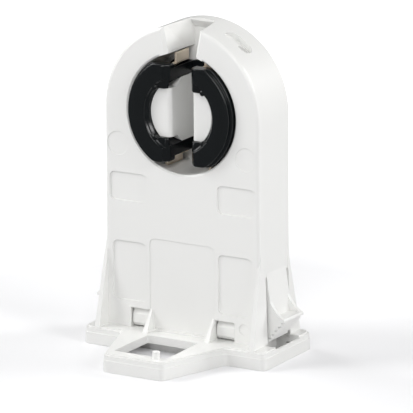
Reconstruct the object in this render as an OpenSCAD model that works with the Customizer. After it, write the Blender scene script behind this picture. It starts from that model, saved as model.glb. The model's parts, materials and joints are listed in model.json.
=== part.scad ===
// Push-through lamp holder for a straight tube with two pins.
// X runs across, Y into the depth with the front face at zero, Z up from the underside of the flange.

/* [Body] */
// Width of the upright body and of its round top
body_w = 26; // [25:0.5:30]
// Depth of the body, front face to rear edge
body_d = 8.6; // [8.2:0.1:10]
// Height of the tube's axis above the underside of the flange
axis_h = 35.8; // [34:0.2:44]
// Thickness of the front wall
face_t = 1.4; // [1.1:0.1:1.7]
// Thickness of the side walls and of the arch
wall_t = 1.5; // [1.3:0.1:1.8]
// Radius of the edge between the front face and the sides
edge_r = 0.55; // [0.2:0.05:0.9]

/* [Rotor opening] */
// Radius of the round opening in the face
hole_r = 9; // [8.9:0.05:9.4]
// Bevel on the rim of the round opening
hole_bevel = 0.25; // [0.1:0.05:0.4]
// Wall of the collar behind the opening
collar_t = 1; // [0.8:0.1:1.2]
// Half width of the entry slot at the top of the arch
entry_top = 3.15; // [2.9:0.05:3.5]
// Half width of the entry slot where it meets the opening
entry_low = 2.35; // [2.2:0.05:2.6]
// Half width of the entry slot at its rear end
entry_back = 1.95; // [1.8:0.05:2.2]
// Bevel on the front edges of the entry slot
entry_bevel = 0.45; // [0.2:0.05:0.7]
// Thickness of the lip across the entry slot's upper rear end
entry_lip = 0.9; // [0.5:0.1:1.2]
// Thickness of the cheeks beside the entry slot
cheek_t = 1.2; // [0.9:0.1:1.6]

/* [Flange] */
// Thickness of the flange at its skirt
flange_t = 2.7; // [2.4:0.1:3.2]
// Width of the flange
flange_w = 30.8; // [30.6:0.1:35]
// Reach of the flange in front of the face
flange_front = 2.75; // [2.4:0.05:3.4]
// Reach of the flange behind the body
flange_back = 2.8; // [2.2:0.05:3.4]
// Thickness of the flange's top plate
plate_t = 1.2; // [0.9:0.1:1.5]
// Thickness of the flange's skirt
skirt_t = 1.2; // [0.9:0.1:1.4]
// Radius of the flange's corners
corner_r = 1; // [0.4:0.1:1.4]
// Height of the flange's parting line above the underside
parting_h = 1.75; // [1.2:0.05:2]
// Bevel on the flange's top edge
flange_bevel = 0.22; // [0.1:0.02:0.4]

/* [Tongue] */
// Reach of the tongue in front of the face
tongue_reach = 14.2; // [13:0.1:17]
// Width of the tongue at its tip
tongue_tip_w = 9.9; // [9.2:0.1:11]
// Width of the tongue where it leaves the flange
tongue_root_w = 17.9; // [16.5:0.1:19]
// Width of the tongue's window at its rear edge
window_rear_w = 8.6; // [7:0.1:9.4]
// Width of the tongue's window at its front edge
window_front_w = 8.8; // [7:0.1:8.8]
// Width of the rim in front of the window
window_rim = 2.3; // [2:0.1:2.6]
// Gap between the face and the window's rear edge
window_gap = 2.7; // [2.4:0.1:3.2]
// Size of the small step along the foot of the face
foot_step = 0.3; // [0.2:0.05:0.4]
// Radius of the locating pip
pip_r = 0.55; // [0.4:0.05:0.7]
// Height of the locating pip above the flange
pip_h = 1.1; // [0.8:0.1:1.5]
// Distance of the locating pip from the middle
pip_x = 3.1; // [0:0.1:3.2]

/* [Gussets] */
// Height of the outer gussets above the underside
gusset_h = 14.2; // [10:0.1:17]
// Thickness of the outer gussets
gusset_t = 0.85; // [0.7:0.05:0.9]
// Flare of the outer gussets beside the body at their foot
gusset_flare = 0.5; // [0.2:0.05:0.6]
// Height at which the flare runs out above the gussets
flare_rise = 2.4; // [1.5:0.1:3]
// Distance of the inner gussets from the middle
brace_x = 5.25; // [5.25:0.05:5.6]
// Height of the inner gussets above the underside
brace_h = 5.8; // [4.6:0.1:6.4]
// Reach of the inner gussets in front of the face
brace_reach = 2; // [1.5:0.1:2.3]
// Thickness of the inner gussets at their foot
brace_t = 0.8; // [0.6:0.05:0.9]
// Thickness of the inner gussets at their top
brace_top_t = 0.35; // [0.3:0.05:0.5]

/* [Spring fingers] */
// Front edge of the finger, from the face
finger_y = 2.1; // [1.9:0.05:2.4]
// Width of the finger along the depth
finger_w = 5.65; // [4.6:0.05:5.7]
// Width of the slits beside the finger
slit_w = 0.5; // [0.35:0.05:0.6]
// Height at which the finger leaves the side wall
finger_top = 12.65; // [11.6:0.05:15]
// Height of the finger's lip
lip_h = 6.1; // [5.6:0.1:6.6]
// Reach of the lip beside the body
lip_reach = 2.95; // [2.4:0.05:3.3]
// Height of the finger's free end
tip_h = 2.95; // [2.8:0.05:3.2]
// Number of steps under the lip
step_count = 5; // [3:1:6]
// Radius of the flare of the finger's fins
fin_flare = 6; // [5.6:0.1:8]
// Thickness of the fins beside the scoop
fin_t = 0.6; // [0.4:0.05:0.8]
// Reach of the scoop's floor beside the body
scoop_reach = 0.95; // [0.6:0.05:1.2]
// Room in front of the finger in the flange's opening
finger_room = 1.3; // [0.9:0.1:1.5]
// Room behind the finger in the flange's opening
finger_rear_room = 0.2; // [0.1:0.05:0.4]

/* [Rear cover] */
// Thickness of the cover plate
cover_t = 1.15; // [1:0.05:1.3]
// Width of the ledge that the cover rests on
ledge_w = 0.6; // [0.4:0.05:0.8]
// Gap between the cover and the housing's rim
cover_gap = 0.05; // [0.03:0.01:0.1]
// Radius of the centre boss
boss_r = 5.1; // [4.9:0.05:5.15]
// Half height of the centre boss at its flats
boss_flat = 3.65; // [3.4:0.05:3.9]
// Half width of the slot for the pins in boss and rotor
pin_slot = 1.8; // [1.5:0.05:1.9]
// Depth over which the boss keeps its flats before it swells to full roundness
boss_flat_l = 2; // [1.5:0.1:2.5]
// Length of the slope between the boss's flats and its full roundness
boss_slope = 1.6; // [1.2:0.1:2]
// Radius of the boss's edges along its slot
boss_edge_r = 0.7; // [0.5:0.05:1.2]

/* [Snap hooks] */
// Distance of each hook's middle from the middle of the body
hook_x = 7.15; // [7.1:0.05:7.3]
// Width of the window for a hook
hook_win_w = 3.3; // [2.9:0.05:3.35]
// Height of the window for a hook
hook_win_h = 3; // [2.8:0.05:3.1]
// Thickness of the catch above a hook
catch_t = 0.9; // [0.7:0.05:1.1]
// Gap round a hook
hook_gap = 0.2; // [0.15:0.05:0.3]
// Step of the hook's nose in front of the catch
hook_nose = 0.9; // [0.6:0.05:1.1]

/* [Rotor] */
// Gap between the rotor's rim and the opening
rotor_gap = 0.2; // [0.15:0.01:0.3]
// Running gap between the rotor's bore and the boss
bore_gap = 0.08; // [0.05:0.01:0.1]
// How far the crown stands in front of the face
crown_proud = 0.95; // [0.7:0.05:1.2]
// How far the rim stands in front of the face
rim_proud = 0.35; // [0.2:0.05:0.5]
// Width of the step between rim and crown
rim_w = 0.37; // [0.25:0.01:0.5]
// Half height of the crown and rim at their flats
crown_flat = 7.25; // [6.9:0.05:7.6]
// Inner radius of the crown at its front
crown_in = 5.75; // [5.6:0.05:6]
// Half width of the crown's slot at its front
crown_slot = 2.6; // [2.4:0.05:2.9]
// Thickness of the rotor's front plate behind the face plane
plate_depth = 1.2; // [1:0.05:1.3]
// Outer radius of the drum
drum_r = 6.8; // [6.6:0.05:7]
// Thickness of the rear web that joins the rotor's halves
web_t = 0.6; // [0.5:0.05:0.7]
// Outer radius of the rear web
web_r = 8.2; // [8:0.05:8.4]
// Half height of the rear web at its flats
web_flat = 6.5; // [6.2:0.1:6.6]
// Height of the lugs inside the crown, which pass in front of the boss
lug_h = 1.6; // [1.2:0.1:1.8]
// Width of the lugs
lug_w = 1.9; // [1.5:0.1:2.1]
// Step of the lugs behind the crown's front
lug_step = 0.4; // [0.3:0.05:0.5]
// Angle of the detent bumps from the horizontal
bump_at = 43; // [40:1:46]
// Running gap in front of and behind the rotor's moving faces
end_gap = 0.15; // [0.1:0.01:0.2]
// Radius of the detent bumps on the crown
bump_r = 0.4; // [0.3:0.05:0.5]

/* [Contacts] */
// Thickness of the contact strip
strip_t = 0.35; // [0.25:0.05:0.4]
// Gap between the leaf and the drum
leaf_gap = 0.35; // [0.3:0.05:0.4]
// Angle from the horizontal at which each leaf ends
leaf_end = 70; // [64:1:71]
// Height of the tab at each leaf's upper end
tab_h = 1.35; // [0.8:0.05:1.4]
// Setback of the tab behind the leaf's front edge
tab_set = 0.9; // [0.5:0.1:1.5]
// Gap between a contact and the walls that hold it
seat_gap = 0.2; // [0.15:0.05:0.3]
// Distance of the leg from the middle
leg_x = 3.7; // [3.5:0.05:3.9]
// Distance of the terminal's inner arm from the middle
arm_x = 1.45; // [1.35:0.05:1.6]
// Height of the terminal's roof above the underside
roof_h = 17.5; // [15:0.5:19]
// Height of the terminal's lower end above the underside
terminal_low = 7.4; // [6.6:0.1:8]
// Lead of the wire-clamping tongues towards the wires
clamp_lead = 0.9; // [0.7:0.05:1]
// Radius of the four wire entries
wire_r = 1.2; // [0.9:0.05:1.25]
// Distance of the inner wire entries from the middle
wire_in = 4.05; // [3.9:0.05:4.1]
// Distance of the outer wire entries from the middle
wire_out = 9.75; // [9.7:0.05:9.8]

/* [Face marks] */
// Depth of the bare pads in the face
pad_depth = 0.2; // [0.05:0.05:0.25]
// Corner radius of the bare pads
pad_r = 0.9; // [0.6:0.1:1.2]
// Width of the upper pads
pad_up_w = 6.3; // [5:0.1:6.5]
// Height of the upper pads
pad_up_h = 4.2; // [3.5:0.1:5]
// Distance of the upper pads' middles from the middle of the body
pad_up_x = 9.1; // [8.8:0.1:9.2]
// Drop of the upper pads' middles below the tube's axis
pad_up_drop = 11.9; // [11.6:0.1:12.5]
// Width of the lower pads
pad_low_w = 5.75; // [5:0.05:6]
// Height of the lower pads
pad_low_h = 8.9; // [8:0.1:9.2]
// Distance of the lower pads' middles from the middle of the body
pad_low_x = 8.95; // [8.8:0.05:9.1]
// Drop of the lower pads' middles below the tube's axis
pad_low_drop = 24.6; // [24.4:0.1:24.9]
// Width of the sunk middle field
field_w = 11; // [9:0.1:11]
// Drop of the middle field's top below the tube's axis
field_drop = 19.2; // [18:0.1:20]
// Drop of the ejector marks below the tube's axis
ejector_drop = 5.5; // [4:0.1:6]
// Distance of the ejector marks from the middle
ejector_x = 10.8; // [10.4:0.1:11]
// Radius of the ejector marks in the face
ejector_r = 1.75; // [1.4:0.05:2]
// Depth of the ejector marks and of the middle field
mark_depth = 0.08; // [0.04:0.01:0.12]
// Radius of the small mark beside the right-hand hook
small_mark_r = 0.8; // [0.5:0.05:0.9]

/* [Shoulder pockets] */
// Length of the pockets in the shoulders, round the arch
pocket_l = 4.6; // [4:0.1:5]
// Width of the pockets
pocket_w = 2.6; // [2:0.1:3]
// Depth of the pockets
pocket_depth = 0.8; // [0.6:0.05:0.9]
// Depth of the well at the pockets' lower end
well_depth = 1.25; // [1:0.05:1.3]
// Angle of the pockets above the horizontal
pocket_at = 56; // [50:1:60]

/* [Hidden] */
$fn = 96;
white = "white";
black = "#1b1d1f";
bronze = "#b49a78";

// An overrun that lets one cut pass clean through a face
over = 0.5;
// Depth by which one volume is sunk into its neighbour, so that the two become one
bond = 0.1;
// Height of the outer edge of the finger's lip
lip_edge = 0.3;
half_w = body_w / 2;
half_flange = flange_w / 2;
inner_x = half_w - wall_t;
cover_x = inner_x + ledge_w;
// Front of the cover plate, which rests on the ledge
seat_y = body_d - cover_t - 0.05;
rotor_r = hole_r - rotor_gap;
crown_r = rotor_r - rim_w;
rotor_bore = boss_r + bore_gap;
boss_front = 0.05;
web_y = seat_y - end_gap - web_t;
leaf_r = drum_r + leaf_gap;
leaf_y = plate_depth + 2 * leaf_gap;
leaf_w = web_y - leaf_gap - leaf_y;
collar_r = hole_r + collar_t;
rib_x = half_w + gusset_flare - gusset_t;
flare_top = gusset_h + flare_rise;
// Ends of the stretch along the depth that the finger and its slits take up
slit_front = finger_y - slit_w;
slit_rear = finger_y + finger_w + slit_w;

// Puts a child drawn in the face's plane into the body, its own height as depth
module depthwise() {
    rotate([90, 0, 0]) mirror([0, 0, 1]) children();
}

// The same, with the child's origin on the tube's axis
module about_axis() {
    translate([0, 0, axis_h]) depthwise() children();
}

// Repeats a child on the right and, mirrored, on the left
module both_sides() {
    for (side = [0, 1]) mirror([side, 0, 0]) children();
}

function unit(v) = v / norm(v);

// Arc points that round the corner b between its neighbours a and c
function corner(a, b, c, r, n = 5) =
    let (
        u = unit(a - b),
        v = unit(c - b),
        half = acos(u * v) / 2,
        centre = b + unit(u + v) * r / sin(half),
        p = b + u * r / tan(half) - centre,
        q = b + v * r / tan(half) - centre,
        start = atan2(p[1], p[0]),
        turn = atan2(q[1], q[0]) - start,
        sweep = turn > 180 ? turn - 360 : (turn < -180 ? turn + 360 : turn)
    )
    [for (i = [0:n]) centre + r * [cos(start + sweep * i / n), sin(start + sweep * i / n)]];

function rounded(pts, r) =
    let (n = len(pts))
    [for (i = [0:n - 1]) each corner(pts[(i + n - 1) % n], pts[i], pts[(i + 1) % n], r)];

// Outline of the flange and tongue, drawn in by d on every side
function flange_outline(d) =
    let (
        lean = (tongue_root_w - tongue_tip_w) / 2 / (tongue_reach - flange_front),
        shift = lean * d - d * sqrt(1 + lean * lean),
        right = [
            [half_flange - d, body_d + flange_back - d],
            [half_flange - d, -flange_front + d],
            [tongue_root_w / 2 + shift, -flange_front + d],
            [tongue_tip_w / 2 + shift, -tongue_reach + d]
        ]
    )
    concat(right, [for (i = [3:-1:0]) [-right[i][0], right[i][1]]]);

module rounded_rect(w, h, r) {
    square([w - 2 * r, h], center = true);
    square([w, h - 2 * r], center = true);
    for (x = [-1, 1], y = [-1, 1]) translate([x * (w / 2 - r), y * (h / 2 - r)]) circle(r);
}

// Outline of the round-topped body in the face's plane, from the height low up
module arch_outline(half, low) {
    translate([-half, low]) square([2 * half, axis_h - low]);
    translate([0, axis_h]) circle(half);
}

// Half section of the body's edge, from the middle out, with its rounded front edge
module edge_profile() {
    translate([0, edge_r]) square([half_w, body_d - edge_r]);
    square([half_w - edge_r, edge_r + over / 10]);
    translate([half_w - edge_r, edge_r]) circle(edge_r);
}

module body_solid() {
    linear_extrude(axis_h) {
        edge_profile();
        mirror([1, 0]) edge_profile();
    }
    about_axis() rotate_extrude(angle = 180) edge_profile();
}

// Flange with its parting line, top bevel and hollow underside
module flange_solid() {
    difference() {
        union() {
            linear_extrude(parting_h) polygon(rounded(flange_outline(0), corner_r));
            linear_extrude(flange_t - flange_bevel) polygon(rounded(flange_outline(0.1), corner_r));
            linear_extrude(flange_t) polygon(rounded(flange_outline(0.1 + flange_bevel), corner_r));
        }
        difference() {
            translate([0, 0, -over]) linear_extrude(flange_t - plate_t + over)
                polygon(rounded(flange_outline(skirt_t), corner_r / 2));
            translate([-half_w, -flange_front / 3, -2 * over])
                cube([body_w, body_d + 2 * flange_front / 3, flange_t]);
        }
    }
}

// Window in the tongue
module tongue_window() {
    front = -tongue_reach + window_rim;
    translate([0, 0, -over]) linear_extrude(flange_t + 2 * over) polygon(rounded([
        [window_rear_w / 2, -window_gap],
        [window_front_w / 2, front],
        [-window_front_w / 2, front],
        [-window_rear_w / 2, -window_gap]
    ], 0.3));
}

// Triangular gussets that run from the body out to the flange's edge, the outer ones flared to the side
module gussets() {
    setback = 0.2;
    foot = -flange_front + setback;
    heel = body_d + flange_back - setback;
    both_sides() {
        intersection() {
            translate([rib_x, 0, 0]) rotate([90, 0, 90]) linear_extrude(gusset_t) {
                polygon([
                    [slit_front, flange_t - over],
                    [foot, flange_t - over],
                    [foot, flange_t],
                    [0, gusset_h],
                    [edge_r, flare_top],
                    [slit_front, flare_top]
                ]);
                polygon([
                    [slit_rear, flange_t - over],
                    [heel, flange_t - over],
                    [heel, flange_t],
                    [body_d, gusset_h],
                    [body_d, flare_top],
                    [slit_rear, flare_top]
                ]);
            }
            translate([0, -flange_front, 0]) depthwise() linear_extrude(flange_front + heel) polygon([
                [rib_x - over, flange_t - over],
                [half_w + gusset_flare, flange_t - over],
                [half_w + gusset_flare, flange_t],
                [half_w, flare_top],
                [rib_x - over, flare_top]
            ]);
        }
        intersection() {
            translate([brace_x - brace_t / 2, 0, 0]) rotate([90, 0, 90]) linear_extrude(brace_t) polygon([
                [edge_r, flange_t - over],
                [-brace_reach, flange_t - over],
                [-brace_reach, flange_t],
                [0, brace_h],
                [edge_r, brace_h]
            ]);
            translate([brace_x, -brace_reach, 0]) depthwise() linear_extrude(brace_reach + edge_r) polygon([
                [-brace_t / 2, flange_t - over],
                [brace_t / 2, flange_t - over],
                [brace_t / 2, flange_t],
                [brace_top_t / 2, brace_h],
                [-brace_top_t / 2, brace_h],
                [-brace_t / 2, flange_t]
            ]);
        }
    }
}

// Section of the finger across the body: wall, scoop, lip and steps
module finger_section() {
    rise = (lip_h - tip_h) / step_count;
    tip_reach = 0.3;
    tread = (lip_reach - tip_reach) / step_count;
    steps = [for (i = [0:step_count - 1]) each [
        [half_w + lip_reach - i * tread, lip_h - i * rise],
        [half_w + lip_reach - (i + 1) * tread, lip_h - i * rise]
    ]];
    polygon(concat(
        [[inner_x, tip_h], [inner_x, finger_top + over], [half_w, finger_top + over]],
        [[half_w + scoop_reach, lip_h + 0.5], [half_w + lip_reach - 0.15, lip_h + 0.5]],
        [[half_w + lip_reach, lip_h + lip_edge]],
        steps,
        [[half_w + tip_reach, tip_h]]
    ));
}

// Section of a fin, whose outer edge flares out to the lip along an arc
module fin_section() {
    drop = sqrt(fin_flare * fin_flare - pow(fin_flare - lip_reach, 2));
    last = asin(drop / fin_flare);
    edge = [for (i = [0:10]) let (a = last * i / 10)
        [half_w + fin_flare * (1 - cos(a)), lip_h + lip_edge + drop - fin_flare * sin(a)]];
    root = half_w - 2 * bond;
    polygon(concat(edge, [[half_w + lip_reach - bond, lip_h], [root, lip_h], [root, lip_h + drop]]));
}

module fingers() {
    both_sides() {
        translate([0, finger_y, 0]) depthwise() linear_extrude(finger_w) finger_section();
        for (y = [finger_y, finger_y + finger_w - fin_t])
            translate([0, y, 0]) depthwise() linear_extrude(fin_t) fin_section();
    }
}

// Slits and flange openings that free the fingers
module finger_cuts() {
    low = flange_t - over;
    room = finger_room + finger_w + finger_rear_room;
    bar = 0.5;
    notch = 0.4;
    both_sides() {
        for (y = [slit_front, finger_y + finger_w])
            translate([inner_x - over, y, low]) cube([wall_t + 2 * over, slit_w, finger_top - low]);
        translate([inner_x - over, finger_y, low]) cube([wall_t + 2 * over, finger_w, tip_h - low]);
        translate([inner_x - 0.2, finger_y - finger_room, -over])
            cube([half_flange - bar - inner_x + 0.2, room, flange_t + over]);
        translate([half_flange - 2 * bar, finger_y - finger_room + finger_rear_room, flange_t - notch])
            cube([2 * bar + over, room - finger_rear_room, over + notch]);
    }
}

// Room inside the housing, with the wider seat for the cover behind it
module cavity() {
    translate([0, face_t, 0]) depthwise() linear_extrude(body_d) arch_outline(inner_x, flange_t);
    translate([0, seat_y, 0]) depthwise() linear_extrude(body_d) arch_outline(cover_x, flange_t);
}

// Entry slot, which narrows down to the round opening and into the depth, with bevelled front edges
module entry_slot() {
    rise = half_w - hole_r;
    low = hole_r - 1.2;
    top = hole_r + rise * 1.2;
    top_half = entry_low + (entry_top - entry_low) * 1.2;
    lean = (top_half - entry_back) / seat_y;
    about_axis() {
        intersection() {
            translate([0, 0, -over]) linear_extrude(seat_y + over)
                polygon([[-entry_low, low], [entry_low, low], [entry_low, hole_r],
                    [top_half, top], [-top_half, top], [-entry_low, hole_r]]);
            translate([0, low - over, 0]) rotate([-90, 0, 0]) linear_extrude(top - low + 2 * over) polygon([
                [-top_half - lean * over, over],
                [top_half + lean * over, over],
                [entry_back - lean * over, -seat_y - over],
                [-entry_back + lean * over, -seat_y - over]
            ]);
            // All but the lip, which hides the cover's edge
            translate([-half_w, 0, 0]) rotate([90, 0, 90]) linear_extrude(body_w) polygon([
                [0, -over],
                [top, -over],
                [top, seat_y - entry_lip],
                [half_w - 0.4, seat_y - entry_lip],
                [inner_x, seat_y],
                [0, seat_y]
            ]);
        }
        both_sides() translate([entry_low, hole_r, 0]) rotate(-atan((entry_top - entry_low) / rise))
            rotate([-90, 0, 0]) translate([0, 0, -1]) linear_extrude(rise * 2)
                polygon([[-over, over], [entry_bevel + over, over], [0, -entry_bevel], [-over, -entry_bevel]]);
    }
}

// Cheeks that carry the entry slot's sides back to the cover
module cheeks() {
    about_axis() difference() {
        linear_extrude(seat_y) both_sides() polygon([
            [entry_back - bond, hole_r - 1],
            [entry_low - bond + cheek_t, hole_r - 1],
            [entry_top + cheek_t, inner_x],
            [entry_top, inner_x + 0.3],
            [entry_back - bond, inner_x + 0.3]
        ]);
        translate([0, 0, -over]) cylinder(h = body_d + 2 * over, r = hole_r);
    }
}

// Collar behind the opening, notched where the contacts' legs leave it
module collar() {
    about_axis() difference() {
        translate([0, 0, face_t - bond]) cylinder(h = seat_y - face_t + bond, r = collar_r);
        translate([0, 0, -over]) cylinder(h = body_d + 2 * over, r = hole_r);
        both_sides() translate([leg_x - strip_t / 2 - seat_gap, -collar_r - over, leaf_y - seat_gap])
            cube([strip_t + 2 * seat_gap, collar_r, body_d]);
    }
}

// Middle wall that keeps the two contacts apart, and the catches for the hooks
module inner_walls() {
    wall = 1.2;
    catch_w = hook_win_w + 4 * bond;
    shelf_w = 1;
    shelf_t = 0.9;
    translate([-wall / 2, face_t - bond, flange_t - bond])
        cube([wall, seat_y - face_t + bond, axis_h - hole_r - flange_t - 4 * bond]);
    both_sides() translate([hook_x - catch_w / 2, face_t - bond, flange_t + hook_win_h - hook_nose])
        cube([catch_w, catch_t + bond, hook_nose + 4 * bond]);
    // Shelf on the side wall that the terminal's roof hangs on
    both_sides() translate([inner_x - shelf_w, face_t - bond, roof_h + strip_t / 2 + seat_gap / 2])
        cube([shelf_w + bond, seat_y - face_t + bond, shelf_t]);
}

// Bare pads, middle field and ejector marks sunk into the face
module face_marks() {
    field_h = axis_h - field_drop - flange_t;
    module pad(x, z, w, h, r, deep) {
        translate([x, -over, z]) depthwise() linear_extrude(over + deep) rounded_rect(w, h, r);
    }
    module round_mark(x, z, r) {
        translate([x, -over, z]) depthwise() cylinder(h = over + mark_depth, r = r);
    }
    both_sides() {
        pad(pad_up_x, axis_h - pad_up_drop, pad_up_w, pad_up_h, pad_r, pad_depth);
        pad(pad_low_x, axis_h - pad_low_drop, pad_low_w, pad_low_h, pad_r, pad_depth);
        round_mark(ejector_x, axis_h - ejector_drop, ejector_r);
    }
    round_mark(half_w - 2.6, flange_t + 2.2, small_mark_r);
    pad(0, flange_t + field_h / 2, field_w, field_h, pad_r, mark_depth);
}

// Oblong pockets in the shoulders of the arch, each with a deeper round well at its lower end
module shoulder_pockets() {
    r = pocket_w / 2 - 0.1;
    both_sides() about_axis() rotate(pocket_at) translate([half_w, 0, body_d / 2]) rotate([0, 90, 0]) {
        translate([0, 0, -pocket_depth]) linear_extrude(pocket_depth + over) rounded_rect(pocket_w, pocket_l, r);
        translate([0, r - pocket_l / 2, -well_depth]) cylinder(h = well_depth + over, r = r - 0.2);
    }
}

module housing() {
    color(white) {
        difference() {
            union() {
                body_solid();
                flange_solid();
            }
            cavity();
            about_axis() {
                translate([0, 0, -over]) cylinder(h = face_t + 2 * over, r = hole_r);
                translate([0, 0, -over])
                    cylinder(h = over + hole_bevel, r1 = hole_r + hole_bevel + over, r2 = hole_r);
            }
            entry_slot();
            finger_cuts();
            face_marks();
            shoulder_pockets();
            tongue_window();
            both_sides() translate([hook_x - hook_win_w / 2, -over, flange_t])
                cube([hook_win_w, face_t + 2 * over, hook_win_h]);
            for (x = [-wire_out, -wire_in, wire_in, wire_out])
                translate([x, body_d / 2, -over]) cylinder(h = flange_t + 2 * over, r = wire_r);
        }
        difference() {
            gussets();
            finger_cuts();
        }
        fingers();
        difference() {
            cheeks();
            entry_slot();
        }
        difference() {
            collar();
            entry_slot();
        }
        inner_walls();
        // Small step along the foot of the face
        translate([-brace_x, -foot_step, flange_t - bond])
            cube([2 * brace_x, foot_step + bond, foot_step + bond]);
        // Locating pip on the rim in front of the window
        translate([pip_x, -tongue_reach + window_rim - pip_r - bond, flange_t - over])
            cylinder(h = pip_h + over, r = pip_r);
    }
}

// One half of the split boss that the rotor turns on
module boss_half() {
    intersection() {
        about_axis() translate([0, 0, boss_front]) cylinder(h = seat_y - boss_front + 2 * bond, r = boss_r);
        translate([0, 0, axis_h - boss_r - over]) linear_extrude(2 * (boss_r + over)) {
            translate([pin_slot + boss_edge_r, boss_front]) square([boss_r, seat_y]);
            translate([pin_slot, boss_front + boss_edge_r]) square([boss_r, seat_y]);
            translate([pin_slot + boss_edge_r, boss_front + boss_edge_r]) circle(boss_edge_r);
        }
        translate([0, 0, axis_h]) rotate([90, 0, 90]) linear_extrude(boss_r + over) polygon([
            [0, -boss_flat],
            [boss_flat_l, -boss_flat],
            [boss_flat_l + boss_slope, -boss_r],
            [body_d, -boss_r],
            [body_d, boss_r],
            [boss_flat_l + boss_slope, boss_r],
            [boss_flat_l, boss_flat],
            [0, boss_flat]
        ]);
    }
}

// Hook arm that reaches forward from the cover and shows its nose in the face
module hook() {
    w = hook_win_w - 2 * hook_gap;
    low = flange_t + hook_gap;
    arm_top = flange_t + hook_win_h - hook_nose - hook_gap / 2;
    nose_top = flange_t + hook_win_h - hook_gap;
    // Ends of the nose along the depth, the bevel on its front and the root in the cover
    front = 0.3;
    back = face_t - 0.15;
    bevel = 0.5;
    root = seat_y + 2 * bond;
    translate([hook_x - w / 2, 0, 0]) rotate([90, 0, 90]) linear_extrude(w) polygon([
        [root, low],
        [front + 0.8 * bevel, low],
        [front, low + bevel],
        [front, arm_top],
        [front + bevel, nose_top],
        [back, nose_top],
        [back, arm_top],
        [root, arm_top]
    ]);
}

module rear_cover() {
    half = cover_x - cover_gap;
    color(white) {
        difference() {
            translate([0, seat_y, 0]) depthwise() linear_extrude(cover_t) arch_outline(half, flange_t + cover_gap);
            // Room behind the fingers, so that they can bend in
            both_sides() translate([inner_x - 0.6, seat_y - over, 0])
                cube([wall_t, cover_t + 2 * over, finger_top + 1.5 * over]);
        }
        both_sides() {
            boss_half();
            hook();
        }
    }
}

// Inner lugs of the crown, which pass in front of the boss
module crown_lugs() {
    thick = crown_proud - lug_step - end_gap;
    both_sides() for (low = [boss_flat, -boss_flat - lug_h])
        translate([pin_slot, low, -thick - end_gap]) cube([lug_w, lug_h, thick]);
}

// Keeps what lies between two flats, at a half height above and below the axis
module between_flats(half) {
    intersection() {
        union() children();
        cube([4 * hole_r, 2 * half, 4 * body_d], center = true);
    }
}

module rotor() {
    color(black) about_axis() difference() {
        union() {
            difference() {
                union() {
                    between_flats(crown_flat) {
                        translate([0, 0, -crown_proud]) cylinder(h = crown_proud + over, r = crown_r);
                        translate([0, 0, -rim_proud]) cylinder(h = rim_proud + plate_depth, r = rotor_r);
                    }
                    cylinder(h = web_y + web_t, r = drum_r);
                    between_flats(web_flat) translate([0, 0, web_y]) cylinder(h = web_t, r = web_r);
                }
                translate([0, 0, -crown_proud - over]) cylinder(h = body_d + 2 * over, r = rotor_bore);
                translate([0, 0, -crown_proud]) cylinder(h = crown_proud, r1 = crown_in, r2 = rotor_bore);
            }
            crown_lugs();
            both_sides() for (up = [-1, 1]) rotate(up * bump_at)
                translate([crown_in - 0.25, 0, -crown_proud]) cylinder(h = crown_proud - end_gap, r = bump_r);
        }
        // Slot that lets the pins in and turns with them, funnelled at the front
        translate([0, -rotor_r - over, 0]) rotate([-90, 0, 0]) linear_extrude(2 * rotor_r + 2 * over) polygon([
            [-crown_slot - over, crown_proud + over],
            [-crown_slot, crown_proud],
            [-pin_slot, 0],
            [-pin_slot, -web_y],
            [pin_slot, -web_y],
            [pin_slot, 0],
            [crown_slot, crown_proud],
            [crown_slot + over, crown_proud + over]
        ]);
    }
}

// A straight run of strip between two points, with round ends
module run(p, q) {
    v = q - p;
    translate(p) rotate(atan2(v[1], v[0])) translate([0, -strip_t / 2]) square([norm(v), strip_t]);
    translate(p) circle(d = strip_t, $fn = 24);
    translate(q) circle(d = strip_t, $fn = 24);
}

// A strip bent along a list of points
module bent(pts) {
    for (i = [0:len(pts) - 2]) run(pts[i], pts[i + 1]);
}

// Right-hand contact: leaf, leg and push-in terminal, drawn as bends across the body
module contact() {
    mid = leaf_r + strip_t / 2;
    turn = [mid * cos(leaf_end), mid * sin(leaf_end)];
    out_x = inner_x - 0.6;
    roof_x = (wire_in + wire_out) / 2;
    color(bronze) {
        about_axis() translate([0, 0, leaf_y]) linear_extrude(leaf_w) {
            intersection() {
                difference() {
                    circle(leaf_r + strip_t);
                    circle(leaf_r);
                }
                polygon([[0, 0], 2 * turn, [2 * mid, mid], [2 * mid, -mid], [2 * turn[0], -2 * turn[1]]]);
            }
            bent([[leg_x, -sqrt(mid * mid - leg_x * leg_x)], [leg_x, roof_h - axis_h]]);
        }
        about_axis() translate([0, 0, leaf_y + tab_set]) linear_extrude(leaf_w - tab_set)
            bent([turn, turn + [0, tab_h]]);
        translate([0, face_t + seat_gap, 0]) depthwise() linear_extrude(seat_y - face_t - 2 * seat_gap) {
            bent([[leg_x, roof_h + 1.6], [leg_x, roof_h], [out_x, roof_h], [out_x, terminal_low]]);
            for (side = [1, -1]) {
                wire_x = side > 0 ? wire_in : wire_out;
                lead = side * clamp_lead;
                bent([
                    [roof_x, roof_h],
                    [wire_x + lead, terminal_low + 1.6],
                    [wire_x + 4 / 3 * lead, terminal_low + 0.8]
                ]);
            }
            bent([[arm_x, terminal_low], [arm_x, roof_h], [leg_x, roof_h]]);
        }
    }
}

module contact_left() {
    mirror([1, 0, 0]) contact();
}

module contact_right() {
    contact();
}

housing();
rear_cover();
rotor();
contact_left();
contact_right();
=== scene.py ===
"""Looks of a push-through lamp holder for a straight tube with two pins.

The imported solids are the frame. This script gives them their finishes, models the turning rotor
as swept surfaces with rounded edges, and sets the floor, the light and the camera.
"""

import json
import logging
import math
from dataclasses import dataclass, field
from enum import Enum
from typing import Any, Callable, Iterable, Sequence

import bpy
import numpy as np
from mathutils import Matrix, Vector


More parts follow.
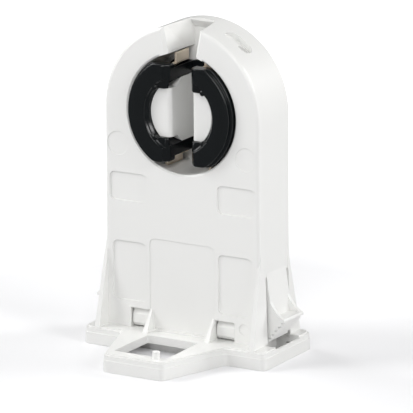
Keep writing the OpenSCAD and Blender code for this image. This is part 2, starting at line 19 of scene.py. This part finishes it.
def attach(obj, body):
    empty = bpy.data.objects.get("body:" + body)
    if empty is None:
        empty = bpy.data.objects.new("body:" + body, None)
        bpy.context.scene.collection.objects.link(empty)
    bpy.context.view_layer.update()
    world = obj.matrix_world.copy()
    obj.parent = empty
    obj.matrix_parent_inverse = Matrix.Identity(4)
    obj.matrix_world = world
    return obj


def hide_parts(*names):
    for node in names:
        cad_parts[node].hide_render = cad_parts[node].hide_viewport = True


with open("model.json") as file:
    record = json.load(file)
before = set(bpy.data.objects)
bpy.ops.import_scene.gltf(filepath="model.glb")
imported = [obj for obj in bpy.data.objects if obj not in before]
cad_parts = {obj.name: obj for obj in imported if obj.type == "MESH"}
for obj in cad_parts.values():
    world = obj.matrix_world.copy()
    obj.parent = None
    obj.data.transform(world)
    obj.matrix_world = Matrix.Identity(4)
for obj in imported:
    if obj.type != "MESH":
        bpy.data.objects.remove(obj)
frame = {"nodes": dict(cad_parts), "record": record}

log = logging.getLogger("lamp_holder")

MM = 0.001
# An edge that turns by more than this stays sharp
SHARP = math.radians(38.0)
RGB = tuple[float, float, float]
Grid = np.ndarray
# A stretch of an outline: its length, and its points for shares from 0 to 1
Run = tuple[float, Callable[[Grid], Grid]]


class Body(Enum):
    """The bodies of the frame that a piece can ride on."""

    SHELL = "shell"
    ROTOR = "rotor"


class Slot(Enum):
    """The record's material slots."""

    WHITE = "white_moulding"
    COVER = "white_cover"
    BLACK = "black_moulding"
    BRONZE = "bronze"


class Field:
    """A number that varies over a surface: one output socket, with Python's operators."""

    def __init__(self, graph: "Graph", socket: bpy.types.NodeSocket) -> None:
        """Wraps a socket of the graph."""
        self.graph = graph
        self.socket = socket

    def _math(self, operation: str, *values: Any) -> "Field":
        """Adds one Math node.

        Args:
            operation: the node's operation.
            values: its inputs in order, fields or numbers.

        Returns:
            The node's result.
        """
        inputs = dict(enumerate(values))
        return self.graph.out("ShaderNodeMath", {"operation": operation}, inputs)

    def __add__(self, other: Any) -> "Field":
        """Sum."""
        return self._math("ADD", self, other)

    __radd__ = __add__

    def __sub__(self, other: Any) -> "Field":
        """Difference."""
        return self._math("SUBTRACT", self, other)

    def __rsub__(self, other: Any) -> "Field":
        """Difference, the other way round."""
        return self._math("SUBTRACT", other, self)

    def __mul__(self, other: Any) -> "Field":
        """Product."""
        return self._math("MULTIPLY", self, other)

    __rmul__ = __mul__

    def clipped(self) -> "Field":
        """The value held between 0 and 1."""
        return self._math("MINIMUM", self._math("MAXIMUM", self, 0.0), 1.0)


class Graph:
    """The node tree of one material or world."""

    def __init__(self, tree: bpy.types.NodeTree) -> None:
        """Empties the tree."""
        self.tree = tree
        tree.nodes.clear()

    def node(self, kind: str, settings: dict | None = None, inputs: dict | None = None) -> bpy.types.Node:
        """Adds a node.

        Args:
            kind: the node's type.
            settings: its properties, set first.
            inputs: socket name or number, to a field, a socket or a plain value.

        Returns:
            The new node.
        """
        new = self.tree.nodes.new(kind)
        for name, value in (settings or {}).items():
            setattr(new, name, value)
        for name, value in (inputs or {}).items():
            source = value.socket if isinstance(value, Field) else value
            if isinstance(source, bpy.types.NodeSocket):
                self.tree.links.new(source, new.inputs[name])
            else:
                new.inputs[name].default_value = source
        return new

    def out(self, kind: str, settings: dict | None = None, inputs: dict | None = None,
            socket: Any = 0) -> Field:
        """Adds a node, as node() does, and returns one of its outputs as a field."""
        return Field(self, self.node(kind, settings, inputs).outputs[socket])

    def noise(self, scale: float, detail: float = 2.0, seed: float = 0.0) -> Field:
        """Smooth noise over the object's own coordinates.

        Args:
            scale: cells to the metre.
            detail: octaves.
            seed: shift along the fourth axis, so that two noises differ.

        Returns:
            The noise, from 0 to 1.
        """
        place = self.node("ShaderNodeTexCoord").outputs["Object"]
        return self.out("ShaderNodeTexNoise", {"noise_dimensions": "4D"},
                        {"Vector": place, "W": seed, "Scale": scale, "Detail": detail})

    def mixed(self, share: Field, low: RGB, high: RGB) -> Field:
        """A colour between two, by a share from 0 to 1."""
        return self.out("ShaderNodeMix", {"data_type": "RGBA"},
                        {"Factor": share, "A": (*low, 1.0), "B": (*high, 1.0)}, "Result")


def new_material(name: str) -> tuple[bpy.types.Material, Graph]:
    """Makes an empty node material.

    Args:
        name: the material's name.

    Returns:
        The material and its graph.
    """
    made = bpy.data.materials.new(name)
    made.use_nodes = True
    return made, Graph(made.node_tree)


@dataclass(frozen=True)
class Moulding:
    """Moulded plastic: an even colour with a faint flow mottle, fine grain and softly broken edges.

    The ring is the mark that an ejector pin leaves: its middle across and up, its radius and the
    width of its line, in metres, in the rest pose. A radius of zero leaves it out. Its depth counts
    in heights of the grain, and scales are in cells to the metre.
    """

    name: str
    colour: RGB
    mottle: float
    roughness: float
    grain_height: float
    edge_radius: float
    specular: float = 0.5
    ring: tuple[float, float, float, float] = (0.0, 0.0, 0.0, 1.0)
    ring_depth: float = 5.0
    shine_drift: float = 0.16
    drift_scale: float = 90.0
    flow_scale: float = 420.0
    grain_scale: float = 5200.0
    swell_scale: float = 1500.0

    def _ring_mark(self, graph: Graph) -> Field:
        """Height of the ring: 1 - ((d - r) / w)^2 at a distance d from its middle, and 0 elsewhere.

        Args:
            graph: the graph to add it to.

        Returns:
            The height, from 0 to 1.
        """
        across, up, radius, line_width = self.ring
        place = graph.node("ShaderNodeTexCoord").outputs["Object"]
        flat = graph.node("ShaderNodeVectorMath", {"operation": "MULTIPLY"}, {0: place, 1: (1.0, 0.0, 1.0)})
        away = graph.out("ShaderNodeVectorMath", {"operation": "DISTANCE"},
                         {0: flat.outputs[0], 1: (across, 0.0, up)}, "Value")
        step = (away - radius) * (1.0 / line_width)
        return (1.0 - step * step).clipped()

    def material(self) -> bpy.types.Material:
        """Builds the finish.

        Returns:
            The material, whose colour and shine drift slightly and whose bump has the tool's grain.
        """
        made, graph = new_material(self.name)
        drift = graph.noise(self.drift_scale, detail=3.0, seed=1.7)
        flow = graph.noise(self.flow_scale, detail=2.0, seed=4.1)
        low = tuple(c * (1.0 - self.mottle) for c in self.colour)
        colour = graph.mixed((drift * 0.6 + flow * 0.4).clipped(), low, self.colour)
        wander = self.shine_drift * self.roughness
        shine = (drift * 0.5 + flow * 0.5) * wander + (self.roughness - wander / 2)
        fine = graph.noise(self.grain_scale, detail=3.0, seed=2.3)
        coarse = graph.noise(self.swell_scale, detail=2.0, seed=5.9)
        grain = fine * 0.7 + coarse * 0.3
        if self.ring[2] > 0.0:
            grain = grain - self._ring_mark(graph) * self.ring_depth
        edge = graph.node("ShaderNodeBevel", {"samples": 12}, {"Radius": self.edge_radius})
        bump = graph.node("ShaderNodeBump", inputs={
            "Strength": 1.0, "Distance": self.grain_height, "Height": grain, "Normal": edge.outputs[0]})
        skin = graph.node("ShaderNodeBsdfPrincipled", inputs={
            "Base Color": colour, "Roughness": shine, "Normal": bump.outputs[0],
            "Specular IOR Level": self.specular})
        graph.node("ShaderNodeOutputMaterial", inputs={"Surface": skin.outputs[0]})
        return made


@dataclass(frozen=True)
class SpringStrip:
    """Rolled bronze strip: a warm metal with fine streaks along the body's height."""

    name: str
    colour: RGB
    dull: RGB
    roughness: float
    metallic: float = 0.35
    streak_scale: float = 9000.0
    streak_stretch: float = 0.15
    streak_height: float = 4e-6
    cloud_scale: float = 700.0

    def material(self) -> bpy.types.Material:
        """Builds the finish.

        Returns:
            The material, whose streaks are noise stretched along the strip.
        """
        made, graph = new_material(self.name)
        place = graph.node("ShaderNodeTexCoord").outputs["Object"]
        stretched = graph.node("ShaderNodeMapping", inputs={
            "Vector": place, "Scale": (self.streak_stretch, 1.0, self.streak_stretch)})
        streak = graph.out("ShaderNodeTexNoise", inputs={
            "Vector": stretched.outputs[0], "Scale": self.streak_scale, "Detail": 3.0})
        cloud = graph.noise(self.cloud_scale, detail=3.0, seed=3.3)
        colour = graph.mixed((streak * 0.5 + cloud * 0.5).clipped(), self.dull, self.colour)
        bump = graph.node("ShaderNodeBump", inputs={
            "Strength": 0.5, "Distance": self.streak_height, "Height": streak})
        skin = graph.node("ShaderNodeBsdfPrincipled", inputs={
            "Base Color": colour, "Metallic": self.metallic, "Roughness": cloud * 0.2 + self.roughness,
            "Normal": bump.outputs[0]})
        graph.node("ShaderNodeOutputMaterial", inputs={"Surface": skin.outputs[0]})
        return made


# The ejector's ring on the right half of the rotor's crown
CROWN_RING = (0.0049, 0.0313, 0.00105, 0.00012)

WHITE = Moulding("white_plastic", colour=(0.83, 0.83, 0.812), mottle=0.012, roughness=0.3,
                 grain_height=5e-6, edge_radius=0.00007)
BLACK = Moulding("black_plastic", colour=(0.006, 0.0078, 0.0088), mottle=0.2, roughness=0.22,
                 grain_height=4e-6, edge_radius=0.00007, ring=CROWN_RING)
BRONZE = SpringStrip("bronze_strip", colour=(0.93, 0.84, 0.71), dull=(0.80, 0.68, 0.54), roughness=0.34)


@dataclass
class KeptSolids:
    """The frame's solids that stay in view and only get the finish of their slot."""

    finishes: dict[Slot, bpy.types.Material]

    def dress(self) -> None:
        """Gives each solid the finish of its slot, and leaves a slot with no finish here alone."""
        for part in frame["record"]["subparts"]:
            finish = self.finishes.get(Slot(part["material_slot"]))
            if finish is None:
                continue
            node = frame["nodes"][part["node"]]
            node.data.materials.clear()
            node.data.materials.append(finish)
            log.info("%s: %s, %d faces", part["node"], finish.name, len(node.data.polygons))


@dataclass
class Surface:
    """Points and faces of a closed surface, in millimetres, which others can be added to."""

    points: Grid = field(default_factory=lambda: np.zeros((0, 3)))
    faces: list[list[int]] = field(default_factory=list)

    def add(self, points: Grid, faces: Iterable[Sequence[int]]) -> None:
        """Adds a further surface.

        Args:
            points: its points, as (n, 3).
            faces: its faces, counted from its own first point.
        """
        start = len(self.points)
        self.points = np.vstack([self.points, points])
        self.faces += [[start + i for i in face] for face in faces]

    def add_stack(self, rings: Grid) -> None:
        """Adds a solid lofted through rings that run anticlockwise seen from the front.

        Neighbouring rings are joined by quads, and the first and last ring are closed by one face.

        Args:
            rings: the rings from front to back, as (rings, points, 3).
        """
        count, size, _ = rings.shape
        i, j = np.meshgrid(np.arange(count - 1), np.arange(size), indexing="ij")
        k = (j + 1) % size
        quads = np.stack([i * size + j, (i + 1) * size + j, (i + 1) * size + k, i * size + k], axis=-1)
        last = (count - 1) * size
        caps = [list(range(size)), list(range(last + size - 1, last - 1, -1))]
        self.add(rings.reshape(-1, 3), quads.reshape(-1, 4).tolist() + caps)

    def add_torus(self, grid: Grid) -> None:
        """Adds a surface closed both ways.

        Args:
            grid: its points, as grid[i, j] with i along the sweep and j round the section.
        """
        count, size, _ = grid.shape
        i, j = np.meshgrid(np.arange(count), np.arange(size), indexing="ij")
        h, k = (i + 1) % count, (j + 1) % size
        quads = np.stack([i * size + j, i * size + k, h * size + k, h * size + j], axis=-1)
        self.add(grid.reshape(-1, 3), quads.reshape(-1, 4).tolist())

    def piece(self, name: str, body: Body, slot: Slot, finish: bpy.types.Material) -> bpy.types.Object:
        """Makes the Blender object, in metres and smooth but for its sharp edges.

        Args:
            name: the object's name.
            body: the body that it rides on.
            slot: its material slot in the record; not used.
            finish: its material.

        Returns:
            The object, linked to the scene.
        """
        mesh = bpy.data.meshes.new(name)
        mesh.from_pydata(self.points * MM, [], self.faces)
        mesh.validate()
        mesh.shade_smooth()
        mesh.set_sharp_from_angle(angle=SHARP)
        mesh.materials.append(finish)
        made = bpy.data.objects.new(name, mesh)
        bpy.context.scene.collection.objects.link(made)
        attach(made, body.value)
        log.info("%s: %d points, %d faces", name, len(self.points), len(self.faces))
        return made


def line(p: Sequence[float], q: Sequence[float]) -> Run:
    """A straight run from p to q."""
    a, b = np.array(p, float), np.array(q, float)
    return float(np.linalg.norm(b - a)), lambda t: a + (b - a) * t[:, None]


def arc(radius: float, start: float, end: float) -> Run:
    """An arc round the origin between two angles.

    Args:
        radius: its radius.
        start: its first angle, in radians.
        end: its last angle, in radians.

    Returns:
        The run.
    """
    def points(t: Grid) -> Grid:
        """The points at shares t of the arc."""
        angle = start + (end - start) * t
        return radius * np.stack([np.cos(angle), np.sin(angle)], axis=-1)
    return abs(radius * (end - start)), points


def softened(runs: Sequence[Run], counts: Sequence[int], corner: float) -> Grid:
    """Joins runs into a closed outline with softened corners.

    Each run is trimmed by the corner's length at both ends, at most 45 % of the run, and a parabola
    through the corner closes the gap: p = (1-t)^2 a + 2t(1-t) c + t^2 b.

    Args:
        runs: the runs, each ending where the next begins.
        counts: points for each run.
        corner: trim at each end, in millimetres.

    Returns:
        The outline, as (points, 2).
    """
    bent = np.array([0.25, 0.5, 0.75])[:, None]
    trims = [min(corner / max(length, 1e-6), 0.45) for length, _ in runs]
    parts = []
    for k, (_, points) in enumerate(runs):
        after, trim = runs[(k + 1) % len(runs)][1], trims[(k + 1) % len(runs)]
        a = points(np.array([1.0 - trims[k]]))
        c = points(np.array([1.0]))
        b = after(np.array([trim]))
        parts.append(points(np.linspace(trims[k], 1.0 - trims[k], counts[k])))
        parts.append((1 - bent) ** 2 * a + 2 * bent * (1 - bent) * c + bent ** 2 * b)
    return np.vstack(parts)


@dataclass
class Section:
    """One level of a rotor half: the sizes of its C-shaped outline at a depth, in millimetres."""

    depth: float
    outer: float
    flat: float
    slot: float
    bore: float
    lug: float

    def inset(self, by: float, deeper: float) -> "Section":
        """The same level drawn in on every side and moved deeper."""
        return Section(self.depth + deeper, self.outer - by, self.flat - by,
                       self.slot + by, self.bore + by, self.lug + by)

    def outline(self, corner: float) -> Grid:
        """The outline of the right half, anticlockwise seen from the front.

        It runs along the lower flat, up the outer arc, back along the upper flat, down the slot's
        side to the lug, round the bore and down to the start.

        Args:
            corner: softness of the corners.

        Returns:
            The points, as (n, 2), across and up from the tube's axis.
        """
        hair = 1e-3
        high = min(self.flat, math.sqrt(self.outer ** 2 - self.slot ** 2) - hair)
        low = min(self.lug, math.sqrt(self.bore ** 2 - self.slot ** 2) - hair)
        out_x, in_x = math.sqrt(self.outer ** 2 - high ** 2), math.sqrt(self.bore ** 2 - low ** 2)
        wide, narrow = math.asin(high / self.outer), math.asin(low / self.bore)
        runs = [
            line((self.slot, -high), (out_x, -high)), arc(self.outer, -wide, wide),
            line((out_x, high), (self.slot, high)), line((self.slot, high), (self.slot, low)),
            line((self.slot, low), (in_x, low)), arc(self.bore, narrow, -narrow),
            line((in_x, -low), (self.slot, -low)), line((self.slot, -low), (self.slot, -high))]
        return softened(runs, (5, 56, 5, 4, 4, 40, 4, 4), corner)


@dataclass
class Rotor:
    """The black rotor: two crown halves on a split drum, joined by the web at the rear."""

    # Sizes as in the part's source
    axis_height: float = 35.8
    crown_proud: float = 0.95
    rim_proud: float = 0.35
    rim_radius: float = 8.8
    crown_radius: float = 8.43
    crown_flat: float = 7.25
    crown_bore: float = 5.75
    crown_slot: float = 2.6
    plate_depth: float = 1.2
    drum_radius: float = 6.8
    bore: float = 5.18
    slot: float = 1.8
    lug_flat: float = 3.65
    lug_step: float = 0.4
    end_gap: float = 0.15
    web_front: float = 6.65
    web_rear: float = 7.25
    web_radius: float = 8.2
    web_flat: float = 6.5
    bump_radius: float = 0.4
    bump_angle: float = 43.0
    bump_inset: float = 0.25
    # Softness of the moulded edges, with the root where the crown meets the rim
    edge: float = 0.13
    corner: float = 0.35
    root: float = 0.03
    lug_edge: float = 0.08
    web_edge: float = 0.08
    # A small step between two levels, and how far the drum runs into the web
    step: float = 0.01
    overlap: float = 0.1

    @property
    def centre(self) -> Grid:
        """The point where the tube's axis meets the face."""
        return np.array([0.0, 0.0, self.axis_height])

    def _levels(self) -> list[Section]:
        """Draws the levels of a half.

        The crown's front edge is a quarter of a circle: at an angle a the outline is drawn in by
        edge (1 - cos a) and lies edge (1 - sin a) deeper than the front.

        Returns:
            The levels, from the crown's front to the web.
        """
        # A flat or a lug that lies beyond the round, so that none is cut
        none = 99.0
        proud, rim = self.crown_proud, self.rim_proud
        lug_front = -(proud - self.lug_step)

        def bore(depth: float) -> float:
            """Bore at a depth, which narrows as a cone over the crown."""
            return self.bore + (self.crown_bore - self.bore) * max(0.0, -depth / proud)

        def slot(depth: float) -> float:
            """Half width of the slot at a depth, which narrows as a funnel over the crown."""
            return self.slot + (self.crown_slot - self.slot) * max(0.0, -depth / proud)

        def at(depth: float, outer: float, flat: float, lug: float = none) -> Section:
            """A level with the bore and slot of its depth."""
            return Section(depth, outer, flat, slot(depth), bore(depth), lug)

        front = at(-proud, self.crown_radius, self.crown_flat)
        turns = np.radians([90.0, 67.5, 45.0, 22.5, 0.0])
        levels = [front.inset(self.edge * (1 - math.cos(a)), self.edge * (1 - math.sin(a))) for a in turns]
        crown, rim_r, flat, e = self.crown_radius, self.rim_radius, self.crown_flat, self.edge
        levels += [
            at(lug_front - 2 * self.step, crown, flat),
            at(lug_front, crown, flat, self.lug_flat + self.lug_edge),
            at(lug_front + 0.75 * self.lug_edge, crown, flat, self.lug_flat),
            at(-rim - self.root, crown, flat, self.lug_flat),
            at(-rim, crown + self.root, flat, self.lug_flat),
            at(-rim + self.step, rim_r - e, flat, self.lug_flat),
            at(-rim + 0.3 * e, rim_r - 0.3 * e, flat, self.lug_flat),
            at(-rim + e, rim_r, flat, self.lug_flat),
            at(-self.end_gap - self.step, rim_r, flat, self.lug_flat),
            at(-self.end_gap, rim_r, flat),
            at(0.0, rim_r, flat),
            at(self.plate_depth - e, rim_r, flat),
            at(self.plate_depth - 0.3 * e, rim_r - 0.3 * e, flat - 0.3 * e),
            at(self.plate_depth, rim_r - e, flat - e),
            at(self.plate_depth + self.step, self.drum_radius, none),
            at(self.web_front + self.overlap, self.drum_radius, none)]
        return levels

    def _halves(self, surface: Surface) -> None:
        """Adds the two halves, the left one a mirror image of the right.

        Args:
            surface: the surface to add them to.
        """
        rings = []
        for level in self._levels():
            flat = level.outline(self.corner)
            rings.append(np.column_stack([flat[:, 0], np.full(len(flat), level.depth), flat[:, 1]]))
        right = np.stack(rings)
        left = right[:, ::-1] * np.array([-1.0, 1.0, 1.0])
        surface.add_stack(right + self.centre)
        surface.add_stack(left + self.centre)

    def _web(self, surface: Surface) -> None:
        """Adds the rear web, an annular plate between two flats.

        The section is a rectangle with softened corners, and its outer radius at an angle a is the
        smaller of the web's radius and flat / |sin a|.

        Args:
            surface: the surface to add it to.
        """
        angle = np.linspace(0.0, 2 * np.pi, 192, endpoint=False)
        outer = np.minimum(self.web_radius, self.web_flat / np.maximum(np.abs(np.sin(angle)), 1e-6))
        outer = np.maximum(outer, self.drum_radius)
        e, thick = self.web_edge, self.web_rear - self.web_front
        share = np.array([0.0, 0.0, 0.0, 1.0, 1.0, 1.0, 1.0, 0.0])
        shift = np.array([0.0, 0.0, e, -e, 0.0, 0.0, -e, e])
        level = np.array([thick - e, e, 0.0, 0.0, e, thick - e, thick, thick])
        radius = self.bore + share * (outer[:, None] - self.bore) + shift
        depth = np.broadcast_to(self.web_front + level, radius.shape)
        grid = np.stack([radius * np.cos(angle)[:, None], depth, radius * np.sin(angle)[:, None]], axis=-1)
        surface.add_torus(grid + self.centre)

    def _bumps(self, surface: Surface) -> None:
        """Adds the four detent bumps inside the crown.

        Each is a circle carried along the axis, whose radius is a share of the bump's: the share
        grows with the depth, so that the front is domed.

        Args:
            surface: the surface to add them to.
        """
        round_angle = np.linspace(0.0, 2 * np.pi, 20, endpoint=False)
        size = self.bump_radius * np.array([0.15, 0.6, 0.86, 1.0, 1.0])
        depth = np.array([-0.93, -0.92, -0.88, -0.8, -self.end_gap])
        angle = self.bump_angle
        for turn in np.radians([angle, -angle, 180.0 - angle, 180.0 + angle]):
            middle = (self.crown_bore - self.bump_inset) * np.array([np.cos(turn), 0.0, np.sin(turn)])
            rings = np.stack([size[:, None] * np.cos(round_angle), np.repeat(depth[:, None], 20, axis=1),
                              size[:, None] * np.sin(round_angle)], axis=-1)
            surface.add_stack(rings + middle + self.centre)

    def build(self, finish: bpy.types.Material) -> bpy.types.Object:
        """Makes the rotor in place of the frame's solid.

        Args:
            finish: its material.

        Returns:
            The object.
        """
        surface = Surface()
        self._halves(surface)
        self._web(surface)
        self._bumps(surface)
        made = surface.piece("rotor_moulding", Body.ROTOR, Slot.BLACK, finish)
        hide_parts("rotor")
        return made


def direction(azimuth: float, elevation: float) -> Vector:
    """The way from the holder by azimuth from its front and by elevation, both in radians."""
    across, ahead = math.sin(azimuth), -math.cos(azimuth)
    return Vector((across * math.cos(elevation), ahead * math.cos(elevation), math.sin(elevation)))


@dataclass(frozen=True)
class Lamp:
    """A square area lamp: its direction in degrees, its side in metres and its power in watts."""

    name: str
    azimuth: float
    elevation: float
    size: float
    power: float


LAMPS = (
    Lamp("key", -60.0, 40.0, 0.3, 2.6),
    Lamp("left", -95.0, 35.0, 0.4, 2.8),
    Lamp("left_low", -60.0, 15.0, 0.3, 1.6),
    Lamp("front", 30.0, 40.0, 0.3, 1.9),
    Lamp("front_low", 10.0, 15.0, 0.3, 1.4),
    Lamp("right", 80.0, 30.0, 0.3, 2.6),
    Lamp("right_rear", 130.0, 25.0, 0.3, 3.5),
    Lamp("back", -172.0, 5.0, 0.4, 1.8))


@dataclass
class Studio:
    """Floor, light and camera."""

    # Camera, as it stood for the photograph
    azimuth: float = 30.574
    elevation: float = 14.677
    roll: float = -0.295
    distance: float = 689.4 * MM
    aim_across: float = 3.621 * MM
    aim_height: float = 22.059 * MM
    pixels_per_mm: float = 6.884
    picture_width: int = 413
    sensor: float = 36.0
    floor_size: float = 12.0
    # How far the floor lies below the flange, so that the two don't meet
    floor_drop: float = 0.02 * MM
    floor_colour: RGB = (0.62, 0.62, 0.635)
    floor_mirrored: RGB = (0.12, 0.12, 0.12)
    floor_seen: RGB = (0.80, 0.80, 0.81)
    floor_glow: float = 0.1
    far_glow: float = 0.6
    glow_from: float = 0.05
    glow_to: float = 0.13
    sky: float = 0.15
    sky_held_back: float = 0.1
    lamps: tuple[Lamp, ...] = LAMPS
    lamp_distance: float = 0.9

    def camera(self) -> bpy.types.Object:
        """Makes the camera at the photograph's angle.

        The eye stands on a ray from the aim point by azimuth and elevation, and the lens gives the
        photograph's number of pixels to a millimetre at the aim point.

        Returns:
            The camera object.
        """
        a, e, r = (math.radians(x) for x in (self.azimuth, self.elevation, self.roll))
        back = direction(a, e)
        right = Vector((math.cos(a), math.sin(a), 0.0))
        up = back.cross(right)
        aim = right * self.aim_across + Vector((0.0, 0.0, self.aim_height))
        side = right * math.cos(r) + up * math.sin(r)
        top = up * math.cos(r) - right * math.sin(r)
        lens = bpy.data.cameras.new("camera")
        lens.sensor_width = self.sensor
        lens.lens = self.pixels_per_mm / MM * self.distance / self.picture_width * self.sensor
        lens.clip_start = 0.01
        lens.clip_end = 50.0
        eye = bpy.data.objects.new("camera", lens)
        turn = Matrix((side, top, back)).transposed().to_4x4()
        eye.matrix_world = Matrix.Translation(aim + back * self.distance) @ turn
        bpy.context.scene.collection.objects.link(eye)
        bpy.context.scene.camera = eye
        return eye

    def floor(self) -> bpy.types.Object:
        """Makes the plain pale floor, just below the flange's underside.

        Only camera rays see it bright: bounced light meets a darker paint and reflections a dark one,
        and away from the holder a glow takes it to white.

        Returns:
            The floor object.
        """
        half, low = self.floor_size / 2, -self.floor_drop
        corners = [(-half, -half, low), (half, -half, low), (half, half, low), (-half, half, low)]
        mesh = bpy.data.meshes.new("floor")
        mesh.from_pydata(corners, [], [(0, 1, 2, 3)])
        made, graph = new_material("floor_paint")
        ray = graph.node("ShaderNodeLightPath")
        mirrored = Field(graph, ray.outputs["Is Glossy Ray"])
        colour = graph.mixed(mirrored, self.floor_colour, self.floor_mirrored)
        paint = graph.node("ShaderNodeBsdfDiffuse", inputs={"Color": colour})
        place = graph.node("ShaderNodeTexCoord").outputs["Object"]
        away = graph.out("ShaderNodeVectorMath", {"operation": "LENGTH"}, {0: place}, "Value")
        far = ((away - self.glow_from) * (1.0 / (self.glow_to - self.glow_from))).clipped()
        tint = graph.mixed(far, (self.floor_glow,) * 3, (self.far_glow,) * 3)
        glow = graph.node("ShaderNodeEmission", inputs={"Color": tint, "Strength": 1.0})
        seen = graph.node("ShaderNodeBsdfDiffuse", inputs={"Color": (*self.floor_seen, 1.0)})
        both = graph.node("ShaderNodeAddShader", inputs={0: seen.outputs[0], 1: glow.outputs[0]})
        skin = graph.node("ShaderNodeMixShader", inputs={
            0: ray.outputs["Is Camera Ray"], 1: paint.outputs[0], 2: both.outputs[0]})
        graph.node("ShaderNodeOutputMaterial", inputs={"Surface": skin.outputs[0]})
        mesh.materials.append(made)
        floor = bpy.data.objects.new("floor", mesh)
        bpy.context.scene.collection.objects.link(floor)
        return floor

    def lamp(self, lamp: Lamp) -> None:
        """Hangs one lamp so that it faces the holder.

        Args:
            lamp: its direction, side and power.
        """
        way = direction(math.radians(lamp.azimuth), math.radians(lamp.elevation))
        light = bpy.data.lights.new(lamp.name, "AREA")
        light.size = lamp.size
        light.energy = lamp.power
        hung = bpy.data.objects.new(lamp.name, light)
        place = way * self.lamp_distance + Vector((0.0, 0.0, self.aim_height))
        hung.matrix_world = Matrix.Translation(place) @ way.to_track_quat("Z", "Y").to_matrix().to_4x4()
        bpy.context.scene.collection.objects.link(hung)

    def world(self) -> None:
        """Sets an even pale sky, which the camera sees as white and reflections see dimmed."""
        world = bpy.data.worlds.new("studio")
        world.use_nodes = True
        graph = Graph(world.node_tree)
        ray = graph.node("ShaderNodeLightPath")
        seen = Field(graph, ray.outputs["Is Camera Ray"])
        mirrored = Field(graph, ray.outputs["Is Glossy Ray"])
        strength = seen * (1.0 - self.sky) - mirrored * self.sky_held_back + self.sky
        sky = graph.node("ShaderNodeBackground", inputs={"Color": (1.0, 1.0, 1.0, 1.0), "Strength": strength})
        graph.node("ShaderNodeOutputWorld", inputs={"Surface": sky.outputs[0]})
        bpy.context.scene.world = world

    def build(self) -> None:
        """Makes the whole stage."""
        self.camera()
        self.floor()
        self.world()
        for lamp in self.lamps:
            self.lamp(lamp)
        log.info("studio: camera, floor, sky and %d lamps", len(self.lamps))


def main() -> None:
    logging.basicConfig(level=logging.INFO, format="%(name)s %(message)s")
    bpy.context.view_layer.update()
    scene = bpy.context.scene
    scene.view_settings.view_transform = "Standard"
    Studio().build()
    white, black, bronze = WHITE.material(), BLACK.material(), BRONZE.material()
    KeptSolids({Slot.WHITE: white, Slot.COVER: white, Slot.BRONZE: bronze}).dress()
    Rotor().build(black)


if __name__ == "__main__":
    main()
